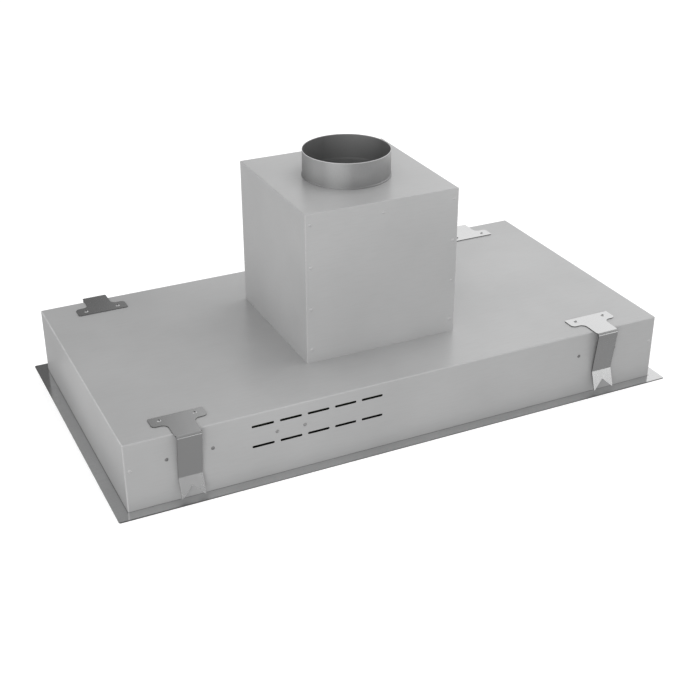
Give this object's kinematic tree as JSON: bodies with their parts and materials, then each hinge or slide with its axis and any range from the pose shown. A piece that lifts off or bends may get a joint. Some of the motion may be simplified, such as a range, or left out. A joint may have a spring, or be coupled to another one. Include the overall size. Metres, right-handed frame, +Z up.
{
  "type": "ceiling range hood",
  "caption": "Flush ceiling range hood: flat sheet-metal casing on a flange, motor box with duct collar, spring ceiling clips and a hinged perimeter suction panel.",
  "frame": {"origin": "centre of the flange's underside, on which the hood stands", "axes": "+X along the long side, to the right seen from the slotted front; +Y from the front to the back; +Z up, along the duct collar"},
  "size_m": [1, 0.53, 0.4215],
  "materials": {
    "satin_sheet": "satin",
    "flange_steel": "glossy",
    "spring_steel": "glossy",
    "collar_steel": "satin",
    "zinc_sheet": "galvanised",
    "rivets": "satin",
    "fixings": "satin",
    "aluminium": "plain",
    "motor_black": "black",
    "rubber": "matte",
    "dark_plastic": "matte",
    "circuit_board": "matte",
    "white_plastic": "matte",
    "lens": "frosted",
    "magnet": "matte"
  },
  "bodies": {
    "hood": {"ceiling_flange": "flange_steel", "casing_top_sheet": "satin_sheet", "casing_front": "satin_sheet", "casing_back": "satin_sheet", "casing_ends": "satin_sheet", "corner_angles": "zinc_sheet", "clip_angles": "zinc_sheet", "motor_box_top": "satin_sheet", "motor_box_back": "satin_sheet", "motor_box_sides": "satin_sheet", "motor_box_frame": "satin_sheet", "motor_box_front": "satin_sheet", "casing_rivets": "rivets", "motor_box_rivets": "satin_sheet", "clip_front_left": "spring_steel", "clip_front_right": "spring_steel", "clip_rear_left": "spring_steel", "clip_rear_right": "spring_steel", "clip_screws": "fixings", "duct_collar": "collar_steel", "damper_pin": "zinc_sheet", "outlet_adaptor": "zinc_sheet", "blower_scroll": "zinc_sheet", "blower_side_left": "zinc_sheet", "blower_side_right": "zinc_sheet", "fan_motor": "motor_black", "motor_mount": "zinc_sheet", "motor_bushes": "rubber", "motor_capacitor": "aluminium", "capacitor_clamp": "zinc_sheet", "electronics_box": "dark_plastic", "electronics_lid": "dark_plastic", "control_board": "circuit_board", "led_driver": "white_plastic", "cable_gland": "dark_plastic", "filter_support": "zinc_sheet", "filter_frames": "aluminium", "filter_meshes": "aluminium", "hinge_brackets": "zinc_sheet", "hinge_pins": "spring_steel", "catch_brackets": "zinc_sheet", "catch_magnets": "magnet", "led_housings": "motor_black", "led_lenses": "lens", "sensor_housing": "dark_plastic", "sensor_lens": "dark_plastic"},
    "damper_front": {"damper_flap_front": "aluminium"},
    "damper_rear": {"damper_flap_rear": "aluminium"},
    "fan": {"impeller_blades": "aluminium", "impeller_rings": "aluminium", "impeller_hub": "aluminium", "motor_shaft": "spring_steel", "impeller_nut": "fixings"},
    "panel": {"suction_panel_skin": "flange_steel", "suction_panel_back": "zinc_sheet", "panel_hinges": "zinc_sheet"},
    "latch_left": {"filter_latch_left": "dark_plastic"},
    "latch_middle": {"filter_latch_middle": "dark_plastic"},
    "latch_right": {"filter_latch_right": "dark_plastic"}
  },
  "joints": [
    {"name": "fan_spin", "type": "hinge", "parent": "hood", "child": "fan", "pos_m": [0, -0.0398, 0.2255], "axis": [1, 0, 0], "continuous": true},
    {"name": "damper_front_swing", "type": "hinge", "parent": "hood", "child": "damper_front", "pos_m": [0, 0, 0.3372], "axis": [-1, 0, 0], "range_deg": [0, 78]},
    {"name": "damper_rear_swing", "type": "hinge", "parent": "hood", "child": "damper_rear", "pos_m": [0, 0, 0.3372], "axis": [1, 0, 0], "range_deg": [0, 78]},
    {"name": "panel_swing", "type": "hinge", "parent": "hood", "child": "panel", "pos_m": [0, 0.21, 0.0085], "axis": [1, 0, 0], "range_deg": [0, 88]},
    {"name": "filter_latch_left_slide", "type": "slide", "parent": "hood", "child": "latch_left", "axis": [0, 1, 0], "range_m": [0, 0.007], "stiffness_N_per_m": 300, "springref_m": -0.004},
    {"name": "filter_latch_middle_slide", "type": "slide", "parent": "hood", "child": "latch_middle", "axis": [0, 1, 0], "range_m": [0, 0.007], "stiffness_N_per_m": 300, "springref_m": -0.004},
    {"name": "filter_latch_right_slide", "type": "slide", "parent": "hood", "child": "latch_right", "axis": [0, 1, 0], "range_m": [0, 0.007], "stiffness_N_per_m": 300, "springref_m": -0.004}
  ]
}
